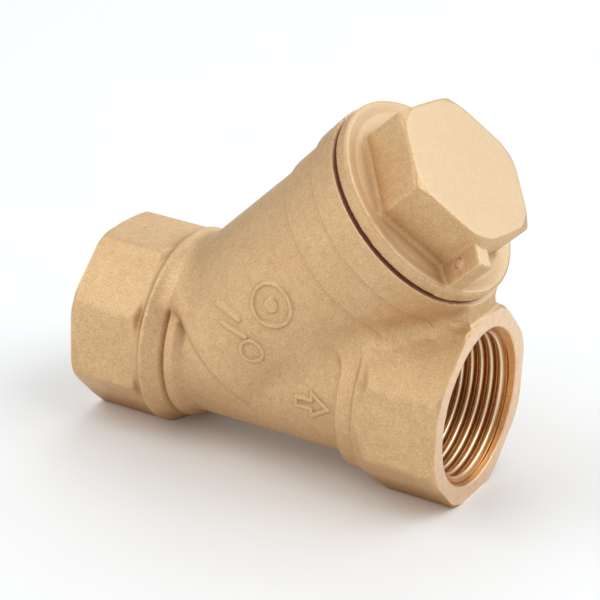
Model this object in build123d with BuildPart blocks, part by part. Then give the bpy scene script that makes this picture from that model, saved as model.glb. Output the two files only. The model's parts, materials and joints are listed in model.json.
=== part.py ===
"""Y strainer for G 3/4 pipe: brass body, screw cap with gasket, stainless screen.

Frame: origin at the centre of the inlet port face, +X along the run towards
the outlet, +Z up.  The branch leans towards the outlet at 45 degrees in the
XZ plane.  Millimetres.
"""
import os
from math import cos, radians, sin, tan

from build123d import *

os.makedirs("parts", exist_ok=True)

# ---- run -------------------------------------------------------------------
run_length = 70.0
crossing_x = 24.0
port_across_flats = 32.0
port_corner_round = 0.7
port_face_radius = 16.5
port_chamfer_angle = 30.0
port_chamfer_run = 1.5
inlet_octagon_length = 13.4
inlet_octagon_back_radius = 16.8
inlet_octagon_back_length = 0.4
outlet_octagon_length = 15.6
outlet_octagon_back_radius = 15.4
outlet_octagon_back_length = 3.6

# ---- turned run between the wrench ends ------------------------------------
run_core_start = 5.0
run_core_radius = 15.8
run_core_slope = 2.0
inlet_ring_x = 14.3
inlet_ring_rise = 1.5
inlet_ring_radius = 17.1
inlet_cone_end_x = 17.3
inlet_cone_end_radius = 15.35
inlet_groove_x = 17.7
inlet_groove_radius = 14.75
inlet_bead_start_x = 18.2
inlet_bead_start_radius = 15.1
inlet_bead_end_x = 19.6
inlet_bead_end_radius = 14.8
neck_radius = 13.5
neck_start_x = 21.6
neck_lead = 0.6
neck_lead_rise = 0.2
neck_notch_x = 34.6
neck_notch_depth = 0.9
neck_notch_inlet_slope = 1.6
neck_notch_outlet_slope = 2.6
neck_notch_half_floor = 0.4
neck_end_x = 48.8
neck_flare_x = 50.8
neck_flare_radius = 14.3
outlet_bead_start_x = 51.6
outlet_bead_start_radius = 15.1
outlet_bead_end_x = 54.0
outlet_bead_end_radius = 15.2

# ---- port threads, G 3/4 ---------------------------------------------------
port_pitch = 1.814
port_minor_radius = 12.33
port_major_radius = 13.22
port_thread_length = 13.5
port_thread_relief = 2.0
port_entry_radius = 13.7
port_flank_angle = 27.5
port_root_flat = 0.07
groove_overlap = 0.15

# ---- passages --------------------------------------------------------------
run_bore_radius = 10.5
inlet_bore_start = 10.0
inlet_bore_end = 33.0
outlet_bore_start = 60.0
outlet_bore_end = 37.5
bore_end_round = 4.0

# ---- branch, heights along its axis from the crossing ----------------------
branch_angle = 45.0
barrel_foot = 3.0
barrel_foot_radius = 16.4
barrel_foot_round = 1.0
barrel_foot_knee = 0.3
step_length = 0.5
collar_edge_chamfer = 0.3
barrel_step = 33.0
barrel_step_radius = 16.75
band_radius = 17.2
band_top_radius = 17.5
collar_start = 40.4
collar_radius = 18.1
collar_top_radius = 18.35
collar_face = 45.6
seat_plane = 2.0
chamber_floor = 5.0
chamber_radius = 13.6
chamber_floor_slope = 2.0
seat_hole_start = 0.5
seat_hole_radius = 9.6
seat_pocket_radius = 11.15
seat_pocket_floor = 3.5

# ---- web between the collar and the outlet octagon -------------------------
web_start_x = 60.0
web_end_x = 68.2
web_width = 8.0
web_foot = 14.0
web_top = 19.1
web_corner_round = 2.5

# ---- raised marks ----------------------------------------------------------
mark_height = 0.3
mark_line = 0.65
mark_blank_start = 10.0
mark_blank_end = 18.0
mark_foot_margin = 1.5
mark_step_margin = 1.0
arrow_tail_x = 42.9
arrow_neck_x = 45.8
arrow_tip_x = 49.3
arrow_height = -0.9
arrow_tail_half = 0.95
arrow_head_half = 2.4
large_ring_x = 39.4
large_ring_z = 16.4
large_ring_radius = 4.0
dot_radius = 1.3
small_ring_x = 35.9
small_ring_z = 7.1
small_ring_radius = 2.2
upper_bar_x = 31.0
upper_bar_z = 12.9
lower_bar_x = 32.4
lower_bar_z = 10.2
bar_length = 6.0
bar_width = 1.0
bar_tilt = -15.0

# ---- cap thread, M30 x 1.5 -------------------------------------------------
cap_pitch = 1.5
body_thread_crest = 14.19
body_thread_root = 15.05
body_thread_flat = 0.13
body_thread_length = 12.0
body_thread_entry = 0.9
cap_thread_crest = 14.85
cap_thread_root = 13.95
thread_flank_gap = 0.13
cap_flank_angle = 30.0
thread_bar_start = 30.0
thread_bar_end = 50.0
thread_trim_radius = 20.0

# ---- cap -------------------------------------------------------------------
gasket_thickness = 0.8
gasket_inner_radius = 15.3
gasket_outer_radius = 17.9
gasket_edge_round = 0.15
flange_radius = 17.95
flange_thickness = 2.1
flange_edge_round = 0.5
flange_edge_knee = 0.15
hex_across_flats = 25.0
hex_top = 57.1
hex_turn = 52.63
hex_chamfer_radius = 12.85
hex_chamfer_angle = 25.0
hex_chamfer_run = 2.5
head_overlap = 0.5
lug_width = 2.8
lug_root = 9.0
lug_reach = 17.85
lug_top = 56.2
seal_hole_radius = 1.0
seal_hole_reach = 15.15
seal_hole_height = 52.1
plug_end = 35.5
relief_height = 1.8
relief_radius = 13.7
relief_slope = 0.3
plug_entry_depth = 0.1
plug_entry_height = 0.9
cap_bore_radius = 11.2
cap_shoulder = 44.8
cap_hollow_radius = 9.8
cap_hollow_top = 49.5
cap_hollow_chamfer = 2.0

# ---- screen ----------------------------------------------------------------
ring_outer_radius = 10.95
ring_inner_radius = 9.75
ring_height = 2.6
ring_web = 0.45
ring_edge_round = 0.2
screen_foot = 3.6
screen_top = 44.6
wire_radius = 0.16
wire_slot_gap = 0.02
warp_circle = 10.35
warp_count = 60
weft_pitch = 0.8
weft_width = 0.28
weft_gap = 0.01
weft_ring_gap = 0.5

branch = Plane(
    origin=(crossing_x, 0, 0),
    x_dir=(0, -1, 0),
    z_dir=(cos(radians(branch_angle)), 0, sin(radians(branch_angle))),
)
inlet_face = Plane(origin=(0, 0, 0), x_dir=(0, -1, 0), z_dir=(1, 0, 0))
outlet_face = Plane(origin=(run_length, 0, 0), x_dir=(0, -1, 0), z_dir=(-1, 0, 0))


def turned(points):
    """Solid of revolution round the local Z axis from (radius, height) points."""
    with BuildPart() as blank:
        with BuildSketch(Plane.XZ):
            with BuildLine():
                Polyline(*points, close=True)
            make_face()
        revolve(axis=Axis.Z)
    return blank.part


def thread_groove(start, length, pitch, crest, root, half_root, flank_angle):
    """Helical V groove round Z, widest at the crest radius."""
    half_crest = half_root + abs(root - crest) * tan(radians(flank_angle))
    with BuildPart() as groove:
        with BuildLine():
            helix = Helix(pitch=pitch, height=length, radius=root)
        with BuildSketch(Plane(origin=(root, 0, 0), x_dir=(1, 0, 0), z_dir=(0, -1, 0))):
            with BuildLine():
                Polyline(
                    (0, -half_root),
                    (0, half_root),
                    (crest - root, half_crest),
                    (crest - root, -half_crest),
                    close=True,
                )
            make_face()
        sweep(path=helix, is_frenet=True)
    return Pos(0, 0, start) * groove.part


# ---- body ------------------------------------------------------------------
def octagon_end(length, back_radius, back_length):
    """Octagonal wrench end with its outer face at z = 0."""
    corner = port_face_radius + port_chamfer_run
    drop = port_chamfer_run * tan(radians(port_chamfer_angle))
    envelope = turned(
        [
            (0, 0),
            (port_face_radius, 0),
            (corner, drop),
            (corner, length - back_length),
            (back_radius, length),
            (0, length),
        ]
    )
    with BuildPart() as octagon:
        with BuildSketch():
            RegularPolygon(port_across_flats / 2, 8, major_radius=False, rotation=180 / 8)
        extrude(amount=length)
        fillet(octagon.edges().filter_by(Axis.Z), port_corner_round)
        add(envelope, mode=Mode.INTERSECT)
    return octagon.part


def run_blank():
    """Turned outline of the run between the wrench ends."""
    notch_start = neck_notch_x - neck_notch_half_floor
    notch_end = neck_notch_x + neck_notch_half_floor
    notch_radius = neck_radius - neck_notch_depth
    return turned(
        [
            (0, run_core_start),
            (run_core_radius, run_core_start),
            (run_core_radius, inlet_ring_x - inlet_ring_rise),
            (inlet_ring_radius, inlet_ring_x),
            (inlet_cone_end_radius, inlet_cone_end_x),
            (inlet_groove_radius, inlet_groove_x),
            (inlet_bead_start_radius, inlet_bead_start_x),
            (inlet_bead_end_radius, inlet_bead_end_x),
            (neck_radius + neck_lead_rise, neck_start_x - neck_lead),
            (neck_radius, neck_start_x),
            (neck_radius, notch_start - neck_notch_inlet_slope),
            (notch_radius, notch_start),
            (notch_radius, notch_end),
            (neck_radius, notch_end + neck_notch_outlet_slope),
            (neck_radius, neck_end_x),
            (neck_flare_radius, neck_flare_x),
            (outlet_bead_start_radius, outlet_bead_start_x),
            (outlet_bead_end_radius, outlet_bead_end_x),
            (run_core_radius, outlet_bead_end_x + run_core_slope),
            (run_core_radius, run_length - run_core_start),
            (0, run_length - run_core_start),
        ]
    )


def branch_blank():
    """Turned outline of the branch from its foot to the collar face."""
    return turned(
        [
            (0, barrel_foot),
            (barrel_foot_radius - barrel_foot_round, barrel_foot),
            (barrel_foot_radius - barrel_foot_knee, barrel_foot + barrel_foot_knee),
            (barrel_foot_radius, barrel_foot + barrel_foot_round),
            (barrel_step_radius, barrel_step),
            (band_radius, barrel_step + step_length),
            (band_top_radius, collar_start),
            (collar_radius, collar_start + step_length),
            (collar_top_radius, collar_face - collar_edge_chamfer),
            (collar_top_radius - collar_edge_chamfer, collar_face),
            (0, collar_face),
        ]
    )


def collar_web():
    """Upright web that ties the collar to the outlet octagon's top flat."""
    with BuildPart() as web:
        with Locations((web_start_x, 0, web_foot)):
            Box(
                web_end_x - web_start_x,
                web_width,
                web_top - web_foot,
                align=(Align.MIN, Align.CENTER, Align.MIN),
            )
        fillet(web.edges().filter_by(Axis.Z).group_by(Axis.X)[-1], web_corner_round)
    return web.part


def port_cut():
    """Entry chamfer, thread bore and thread relief seen from the port face."""
    depth = port_entry_radius - port_minor_radius
    return turned(
        [
            (0, -1),
            (port_entry_radius + 1, -1),
            (port_minor_radius, depth),
            (port_minor_radius, port_thread_length),
            (run_bore_radius, port_thread_length + port_thread_relief),
            (0, port_thread_length + port_thread_relief),
        ]
    )


def chamber_cut():
    """Screen chamber, cap thread bore and seat, along the branch axis."""
    mouth = collar_face + 1.0
    return turned(
        [
            (0, seat_hole_start),
            (seat_hole_radius, seat_hole_start),
            (seat_hole_radius, seat_pocket_floor),
            (seat_pocket_radius, seat_pocket_floor),
            (seat_pocket_radius, chamber_floor),
            (chamber_radius, chamber_floor + chamber_floor_slope),
            (chamber_radius, collar_face - body_thread_length),
            (body_thread_crest, collar_face - body_thread_length),
            (body_thread_crest, collar_face - body_thread_entry),
            (body_thread_crest + body_thread_entry, collar_face),
            (body_thread_crest + body_thread_entry, mouth),
            (0, mouth),
        ]
    )


def inlet_passage():
    """Bore from the inlet port to the underside of the screen seat."""
    with BuildPart() as passage:
        with BuildSketch(Plane.YZ.offset(inlet_bore_start)):
            Circle(run_bore_radius)
        extrude(amount=inlet_bore_end - inlet_bore_start)
        fillet(passage.edges().group_by(Axis.X)[-1], bore_end_round)
        with Locations(branch.offset(seat_plane).location):
            Cylinder(
                2 * run_length,
                run_length,
                align=(Align.CENTER, Align.CENTER, Align.MIN),
                mode=Mode.SUBTRACT,
            )
    return passage.part


def outlet_passage():
    """Bore from the outlet port back into the screen chamber."""
    with BuildPart() as passage:
        with BuildSketch(Plane.YZ.offset(outlet_bore_start)):
            Circle(run_bore_radius)
        extrude(amount=outlet_bore_end - outlet_bore_start)
        fillet(passage.edges().group_by(Axis.X)[0], bore_end_round)
    return passage.part


def flow_arrow():
    """Raised arrow on the neck, pointing from the inlet to the outlet."""
    with BuildPart() as arrow:
        with BuildSketch(Plane.XZ.offset(mark_blank_start)):
            with Locations((0, arrow_height)):
                with BuildLine():
                    Polyline(
                        (arrow_tail_x, arrow_tail_half),
                        (arrow_neck_x, arrow_tail_half),
                        (arrow_neck_x, arrow_head_half),
                        (arrow_tip_x, 0),
                        (arrow_neck_x, -arrow_head_half),
                        (arrow_neck_x, -arrow_tail_half),
                        (arrow_tail_x, -arrow_tail_half),
                        close=True,
                    )
                make_face()
        extrude(amount=mark_blank_end - mark_blank_start)
        with Locations(inlet_face.location):
            Cylinder(
                neck_radius + mark_height,
                run_length,
                align=(Align.CENTER, Align.CENTER, Align.MIN),
                mode=Mode.INTERSECT,
            )
    return arrow.part


def plain_marks():
    """Raised plain rings and bars on the side of the barrel."""
    skin = turned(
        [
            (0, barrel_foot + mark_foot_margin),
            (barrel_foot_radius + mark_height, barrel_foot + mark_foot_margin),
            (barrel_step_radius + mark_height, barrel_step - mark_step_margin),
            (0, barrel_step - mark_step_margin),
        ]
    )
    with BuildPart() as marks:
        with BuildSketch(Plane.XZ.offset(mark_blank_start)):
            with Locations((large_ring_x, large_ring_z)):
                Circle(large_ring_radius)
                Circle(large_ring_radius - mark_line, mode=Mode.SUBTRACT)
                Circle(dot_radius)
            with Locations((small_ring_x, small_ring_z)):
                Circle(small_ring_radius)
                Circle(small_ring_radius - mark_line, mode=Mode.SUBTRACT)
            with Locations(
                Location((upper_bar_x, upper_bar_z), bar_tilt),
                Location((lower_bar_x, lower_bar_z), bar_tilt),
            ):
                SlotOverall(bar_length, bar_width)
        extrude(amount=mark_blank_end - mark_blank_start)
        with Locations(branch.location):
            add(skin, mode=Mode.INTERSECT)
    return marks.part


inlet_octagon = octagon_end(
    inlet_octagon_length, inlet_octagon_back_radius, inlet_octagon_back_length
)
outlet_octagon = octagon_end(
    outlet_octagon_length, outlet_octagon_back_radius, outlet_octagon_back_length
)
run_turned = run_blank()
branch_turned = branch_blank()
port_bore = port_cut()
chamber_bore = chamber_cut()
arrow_mark = flow_arrow()
barrel_marks = plain_marks()
web_blank = collar_web()
inlet_bore = inlet_passage()
outlet_bore = outlet_passage()
port_groove = thread_groove(
    -2 * port_pitch,
    port_thread_length + 1.5 * port_pitch,
    port_pitch,
    port_minor_radius - groove_overlap,
    port_major_radius,
    port_root_flat,
    port_flank_angle,
)
cap_groove = thread_groove(
    collar_face - body_thread_length + cap_pitch,
    body_thread_length + 1.0,
    cap_pitch,
    body_thread_crest - groove_overlap,
    body_thread_root,
    body_thread_flat,
    cap_flank_angle,
)

with BuildPart() as body:
    with Locations(inlet_face.location):
        add(run_turned)
        add(inlet_octagon)
    with Locations(outlet_face.location):
        add(outlet_octagon)
    with Locations(branch.location):
        add(branch_turned)
    add(web_blank)
    add(arrow_mark)
    add(barrel_marks)
    with Locations(branch.location):
        add(chamber_bore, mode=Mode.SUBTRACT)
    add(inlet_bore, mode=Mode.SUBTRACT)
    add(outlet_bore, mode=Mode.SUBTRACT)
    with Locations(inlet_face.location, outlet_face.location):
        add(port_bore, mode=Mode.SUBTRACT)
    with Locations(inlet_face.location):
        add(port_groove, mode=Mode.SUBTRACT)
    with Locations(outlet_face.location):
        add(port_groove, mode=Mode.SUBTRACT)
    with Locations(branch.location):
        add(cap_groove, mode=Mode.SUBTRACT)
body.part.label = "body"
export_step(body.part, "parts/body.step")


# ---- cap gasket ------------------------------------------------------------
with BuildPart() as cap_gasket:
    with BuildSketch(branch.offset(collar_face)):
        Circle(gasket_outer_radius)
        Circle(gasket_inner_radius, mode=Mode.SUBTRACT)
    extrude(amount=gasket_thickness)
    fillet(cap_gasket.edges(), gasket_edge_round)
cap_gasket.part.label = "cap_gasket"
export_step(cap_gasket.part, "parts/cap_gasket.step")


# ---- cap -------------------------------------------------------------------
flange_under = collar_face + gasket_thickness
flange_top = flange_under + flange_thickness


def cap_flange():
    """Round flange between the plug and the hexagon."""
    return turned(
        [
            (0, flange_under),
            (flange_radius, flange_under),
            (flange_radius, flange_top - flange_edge_round),
            (flange_radius - flange_edge_knee, flange_top - flange_edge_knee),
            (flange_radius - flange_edge_round, flange_top),
            (0, flange_top),
        ]
    )


def plug_nose_trim():
    """Removes the thread bar below the plug's chamfered end."""
    return turned(
        [
            (0, thread_bar_start - 1),
            (thread_trim_radius, thread_bar_start - 1),
            (thread_trim_radius, plug_end + plug_entry_height),
            (cap_thread_crest, plug_end + plug_entry_height),
            (cap_thread_root - plug_entry_depth, plug_end),
            (0, plug_end),
        ]
    )


def plug_relief_trim():
    """Turns the thread relief and removes the thread bar above the flange's underside."""
    relief_start = flange_under - relief_height
    core_end = flange_under + head_overlap
    return turned(
        [
            (relief_radius, relief_start + relief_slope),
            (cap_thread_crest, relief_start),
            (thread_trim_radius, relief_start),
            (thread_trim_radius, thread_bar_end + 1),
            (0, thread_bar_end + 1),
            (0, core_end),
            (relief_radius, core_end),
        ]
    )


def cap_hollow():
    """Bore that houses the screen's top ring, with the shoulder above it."""
    return turned(
        [
            (0, plug_end - 1),
            (cap_bore_radius, plug_end - 1),
            (cap_bore_radius, cap_shoulder),
            (cap_hollow_radius, cap_shoulder),
            (cap_hollow_radius, cap_hollow_top - cap_hollow_chamfer),
            (cap_hollow_radius - cap_hollow_chamfer, cap_hollow_top),
            (0, cap_hollow_top),
        ]
    )


def hex_envelope():
    """Turned chamfer over the hexagon's top corners."""
    corner = hex_chamfer_radius + hex_chamfer_run
    drop = hex_chamfer_run * tan(radians(hex_chamfer_angle))
    return turned(
        [
            (0, flange_top - head_overlap),
            (corner, flange_top - head_overlap),
            (corner, hex_top - drop),
            (hex_chamfer_radius, hex_top),
            (0, hex_top),
        ]
    )


flange = cap_flange()
nose_trim = plug_nose_trim()
relief_trim = plug_relief_trim()
hollow = cap_hollow()
envelope = hex_envelope()
lug_plane = Plane(branch * Rot(0, 0, hex_turn))
plug_groove = thread_groove(
    collar_face - body_thread_length - 0.5 * cap_pitch,
    body_thread_length + 0.5,
    cap_pitch,
    cap_thread_crest + groove_overlap,
    cap_thread_root,
    cap_pitch / 2 - body_thread_flat + thread_flank_gap
    - (body_thread_root - cap_thread_root) * tan(radians(cap_flank_angle)),
    cap_flank_angle,
)
with BuildPart() as cap_screw:
    with Locations((0, 0, thread_bar_start)):
        Cylinder(
            cap_thread_crest,
            thread_bar_end - thread_bar_start,
            align=(Align.CENTER, Align.CENTER, Align.MIN),
        )
    add(plug_groove, mode=Mode.SUBTRACT)
    add(nose_trim, mode=Mode.SUBTRACT)
    add(relief_trim, mode=Mode.SUBTRACT)
    add(flange)

with BuildPart() as cap:
    with BuildSketch(branch.offset(flange_top - head_overlap)):
        RegularPolygon(hex_across_flats / 2, 6, major_radius=False, rotation=hex_turn)
    extrude(amount=hex_top - flange_top + head_overlap)
    with Locations(branch.location):
        add(envelope, mode=Mode.INTERSECT)
        add(cap_screw.part)
    with BuildSketch(lug_plane.offset(flange_top - head_overlap)):
        with Locations((lug_root, 0)):
            Rectangle(lug_reach, lug_width, align=(Align.MIN, Align.CENTER))
        Circle(lug_reach, mode=Mode.INTERSECT)
    extrude(amount=lug_top - flange_top + head_overlap)
    with Locations(lug_plane * Pos(seal_hole_reach, 0, seal_hole_height)):
        Cylinder(seal_hole_radius, 12, rotation=(90, 0, 0), mode=Mode.SUBTRACT)
    with Locations(branch.location):
        add(hollow, mode=Mode.SUBTRACT)
cap.part.label = "cap"
export_step(cap.part, "parts/cap.step")


# ---- screen ----------------------------------------------------------------
def screen_ring():
    """Channel ring that grips the ends of the warp wires, open upwards."""
    slot_inner = warp_circle - wire_radius - wire_slot_gap
    slot_outer = warp_circle + wire_radius + wire_slot_gap
    with BuildPart() as ring:
        with BuildSketch():
            Circle(ring_outer_radius)
            Circle(ring_inner_radius, mode=Mode.SUBTRACT)
        extrude(amount=ring_height)
        fillet(ring.edges().group_by(Axis.Z)[0], ring_edge_round)
        with BuildSketch(Plane.XY.offset(ring_web)):
            Circle(slot_outer)
            Circle(slot_inner, mode=Mode.SUBTRACT)
        extrude(amount=ring_height, mode=Mode.SUBTRACT)
    return ring.part


channel = screen_ring()

with BuildPart() as screen_bottom_ring:
    with Locations(branch.offset(screen_foot).location):
        add(channel)
screen_bottom_ring.part.label = "screen_bottom_ring"
export_step(screen_bottom_ring.part, "parts/screen_bottom_ring.step")

with BuildPart() as screen_top_ring:
    with Locations(branch.offset(screen_top).location * Rot(180, 0, 0)):
        add(channel)
screen_top_ring.part.label = "screen_top_ring"
export_step(screen_top_ring.part, "parts/screen_top_ring.step")

warp_start = screen_foot + ring_web
warp_length = screen_top - screen_foot - 2 * ring_web
with BuildPart() as screen_warp_wires:
    with BuildSketch(branch.offset(warp_start)):
        with PolarLocations(warp_circle, warp_count):
            Circle(wire_radius)
    extrude(amount=warp_length)
screen_warp_wires.part.label = "screen_warp_wires"
export_step(screen_warp_wires.part, "parts/screen_warp_wires.step")

weft_inner = warp_circle + wire_radius + weft_gap
weft_first = screen_foot + ring_height + weft_ring_gap
weft_span = screen_top - screen_foot - 2 * (ring_height + weft_ring_gap) - weft_width
weft_count = int(weft_span / weft_pitch) + 1
weft_start = weft_first + (weft_span - (weft_count - 1) * weft_pitch) / 2
weft_planes = [branch.offset(weft_start + index * weft_pitch) for index in range(weft_count)]
with BuildPart() as screen_weft_wires:
    with BuildSketch(*weft_planes):
        Circle(weft_inner + weft_width)
        Circle(weft_inner, mode=Mode.SUBTRACT)
    extrude(amount=weft_width)
screen_weft_wires.part.label = "screen_weft_wires"
export_step(screen_weft_wires.part, "parts/screen_weft_wires.step")
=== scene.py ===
"""Y strainer in shot-blasted brass: the looks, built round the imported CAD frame.

Lengths in the shape functions are millimetres in the frame's own axes: origin at the centre
of the inlet face, +X along the run to the outlet, +Z up.  The branch leans 45 degrees
towards +X.  Meshes are scaled to metres as they are made.
"""
import json
from math import cos, pi, radians, sin, tan

import bmesh
import bpy
import numpy as np
from mathutils import Matrix, Vector


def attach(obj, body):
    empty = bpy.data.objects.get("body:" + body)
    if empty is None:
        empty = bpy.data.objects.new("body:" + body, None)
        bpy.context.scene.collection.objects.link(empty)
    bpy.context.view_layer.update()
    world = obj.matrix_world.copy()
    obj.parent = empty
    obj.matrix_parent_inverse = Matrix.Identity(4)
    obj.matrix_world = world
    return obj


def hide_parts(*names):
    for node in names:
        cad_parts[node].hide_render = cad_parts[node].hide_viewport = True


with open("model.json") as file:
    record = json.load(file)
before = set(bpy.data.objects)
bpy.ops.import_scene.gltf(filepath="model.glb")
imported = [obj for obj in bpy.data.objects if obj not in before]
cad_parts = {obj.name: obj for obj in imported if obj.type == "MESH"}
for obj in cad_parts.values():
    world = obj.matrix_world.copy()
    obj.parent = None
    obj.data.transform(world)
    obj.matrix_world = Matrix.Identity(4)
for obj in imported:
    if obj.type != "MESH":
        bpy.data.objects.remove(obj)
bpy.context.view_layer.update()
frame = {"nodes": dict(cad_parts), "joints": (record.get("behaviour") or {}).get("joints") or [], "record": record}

MM = 0.001
joints = {joint["name"]: joint for joint in frame["joints"]}
mounts = {mount["name"]: mount for mount in frame["record"]["mounts"]}

# ---- main sizes, from the frame ---------------------------------------------
run_length = mounts["outlet_end_face"]["pos_m"][0] / MM
half_flats = -mounts["resting_flat"]["pos_m"][2] / MM
crossing_x = joints["cap_turn"]["pos_m"][0] / MM
port_crest = mounts["outlet_port"]["dims"]["r_mm"] - 0.2
lean = 0.5**0.5

# ---- ports -------------------------------------------------------------------
port_face_radius = 16.5
port_chamfer_slope = tan(radians(30))
port_chamfer_run = 2.2
port_pitch = 1.814
port_major = 13.22
port_entry = 13.7
port_thread_start = 0.2
port_thread_end = 13.6
port_sleeve_back = 13.9
port_flank = radians(27.5)
port_thread_flat = 0.1
port_thread_round = 0.6
port_cone_gap = 0.012
run_bore = 10.5
port_bore_depth = 10
inlet_bore_end = 33.0
inlet_bore_top = 2.0
outlet_bore_end = 37.5
bore_end_round = 3.0
octagon_round = 0.5
top_flat_draft = radians(2.5)
inlet_flats_end = (12.9, 16.6)
inlet_flats_slant = (0.8, 0.6)
outlet_flats_end = (54.7, 15.3)
outlet_flats_slant = (-0.6, 0.8)
flats_face_round = 0.3
flats_end_round = 0.4

# ---- branch ------------------------------------------------------------------
neck_radius = 13.5
barrel_foot = 3.0
collar_face = 45.75
collar_overrun = 2
chamber_radius = 13.6
cap_thread_start = 33.6
cap_pitch = 1.5
body_thread_crest = 14.19
body_thread_root = 15.05
body_thread_flat = 0.1
cap_thread_flank = radians(30)
cap_thread_round = 0.25
collar_sleeve_back = 15.4
cut_depth = 0.1

# ---- blends of the casting -----------------------------------------------------
ports_round = 0.5
neck_round = 0.7
barrel_round = 0.5
crotch_round = 4.2
crotch_heights = (9, 22)
crotch_sides = (-6, 8)
shoulder_round = 4.5
shoulder_levels = (4, 11)
shoulder_sides = (3, 11)
web_middle = (64.1, 16)
web_half_size = (4.1, 4, 3.1)
web_edge_round = 1.5
web_foot_round = 2.5

# ---- raised marks --------------------------------------------------------------
arrow_tail, arrow_neck, arrow_tip = 42.9, 45.8, 49.3
arrow_middle = -0.9
arrow_head_half = 2.4
arrow_shaft_half = 0.95
arrow_line = 0.38
arrow_inset = 0.15
ring_place, ring_radius, ring_line = (39.4, 16.4), 3.68, 0.36
ring_dot = 1.3
small_ring_place, small_ring_radius, small_ring_line = (35.9, 7.1), 1.92, 0.32
bar_places = ((31.0, 12.9), (32.4, 10.2))
bar_tilt = radians(-15)
bar_half_length = 2.5
bar_line = 0.45
mark_height = 0.34
mark_sink = 0.05
mark_round = 0.3
mark_foot_round = 0.5
patch_margin = 0.5
patch_depth = 0.4

# ---- cap ---------------------------------------------------------------------
flange_under = 46.25
flange_top = 48.5
flange_radius = 17.95
flange_dip = 0.2
hex_half_flats = 12.5
hex_top = 57.1
hex_top_radius = 12.85
hex_chamfer = tan(radians(25))
hex_turn = radians(52.63)
hex_edge_round = 0.3
head_top_round = 0.55
head_foot_round = 0.9
head_overlap = 0.5
lug_half_width = 1.4
lug_reach = 17.85
lug_start = 9
lug_top = 56.2
lug_round = 0.35
lug_foot_round = 0.5
seal_hole_radius = 1.0
seal_hole_reach = 15.15
seal_hole_height = 52.1
plug_end = 35.5
plug_core = 13.85
plug_hollow = 11.2
plug_sleeve_back = 13.2
male_crest = 14.85
male_root = 13.95
male_thread_flat = 0.06
male_lead_in = 0.1
male_runout = 44.2
male_runout_slope = 1.5
male_thread_end = 44.75

# ---- gasket --------------------------------------------------------------------
gasket_radius = 16.55
gasket_half_width = 1.2
gasket_clearance = 0.01
gasket_round = 0.15
gasket_ripple = 0.03
gasket_ripples = 9

# ---- screen --------------------------------------------------------------------
screen_foot = 3.6
screen_top = 44.6
ring_height = 2.6
warp_count = 60
warp_inset = 0.5
weft_pitch = 0.8
weft_inset = 0.6
wire_radius = 0.15
wire_sides = 6
weave_radius = 10.47
wave = 0.14

# ---- fineness of the meshes ----------------------------------------------------
casting_step = 0.3
gasket_step = 0.2
mark_step = 0.15
thread_facets = 160
thread_rows_per_turn = 14
sleeve_gap = 0.05
seat_sleeve_gap = 0.02

# ---- boxes that the meshes are contoured in, and how near a cut surface counts as on it --
box_margin = 1.0
gasket_margin = 0.6
floor_margin = 1.38
body_half_width = 19.5
body_top = 48.0
cap_half_width = 19
on_face = 0.02
on_flange = 0.03
on_bore = 0.06
on_cap_bore = 0.05


# ---- distance fields -----------------------------------------------------------
def soft_min(a, b, reach):
    """Smaller of two distances, blended where they differ by less than reach."""
    near = np.maximum(reach - np.abs(a - b), 0) / reach
    return np.minimum(a, b) - near * near * reach / 4


def soft_max(a, b, reach):
    """Larger of two distances, blended where they differ by less than reach."""
    return -soft_min(-a, -b, reach)


def ramp(value, low, high):
    """Smooth step from 0 at low to 1 at high."""
    t = np.clip((value - low) / (high - low), 0, 1)
    return t * t * (3 - 2 * t)


def outline_distance(points, r, z):
    """Signed distance from (r, z) to a closed outline, negative inside."""
    nearest = np.full(r.shape, 1e9)
    inside = np.zeros(r.shape, bool)
    for (r0, z0), (r1, z1) in zip(points, points[1:] + points[:1]):
        along_r, along_z = r1 - r0, z1 - z0
        off_r, off_z = r - r0, z - z0
        t = (off_r * along_r + off_z * along_z) / (along_r**2 + along_z**2)
        t = np.clip(t, 0, 1)
        nearest = np.minimum(nearest, (off_r - t * along_r) ** 2 + (off_z - t * along_z) ** 2)
        if z0 != z1:
            crosses = (z0 > z) != (z1 > z)
            inside ^= crosses & (r < r0 + off_z * along_r / along_z)
    return np.where(inside, -1, 1) * np.sqrt(nearest)


class Turned:
    """Distance field of a turned solid, given as (radius, height) points up its side."""

    step = 0.1

    def __init__(self, points, soften=0.0):
        heights = [z for _, z in points]
        self.base = min(heights) - 3
        self.shape = (230, int((max(heights) - self.base + 3) / self.step))
        outline = [(-25, points[0][1])] + points + [(-25, points[-1][1])]
        r, z = np.meshgrid(
            self.step * np.arange(self.shape[0]),
            self.base + self.step * np.arange(self.shape[1]),
            indexing="ij",
        )
        self.table = outline_distance(outline, r, z)
        if soften:
            self.blur(soften / self.step)

    def blur(self, width):
        """Rounds the corners of the outline, outer and inner alike."""
        count = int(3 * width) + 1
        kernel = np.exp(-0.5 * (np.arange(-count, count + 1) / width) ** 2)
        kernel /= kernel.sum()
        for axis in (0, 1):
            padding = [(count, count) if i == axis else (0, 0) for i in (0, 1)]
            mode = "reflect" if axis == 0 else "edge"
            wide = np.pad(self.table, padding, mode=mode)
            self.table = sum(
                weight * np.take(wide, np.arange(i, i + self.shape[axis]), axis)
                for i, weight in enumerate(kernel)
            )

    def __call__(self, r, z):
        u = np.clip(r / self.step, 0, self.shape[0] - 1.001)
        v = np.clip((z - self.base) / self.step, 0, self.shape[1] - 1.001)
        i, j = u.astype(int), v.astype(int)
        u, v = u - i, v - j
        t = self.table
        low = t[i, j] * (1 - v) + t[i, j + 1] * v
        high = t[i + 1, j] * (1 - v) + t[i + 1, j + 1] * v
        return low * (1 - u) + high * u


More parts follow.
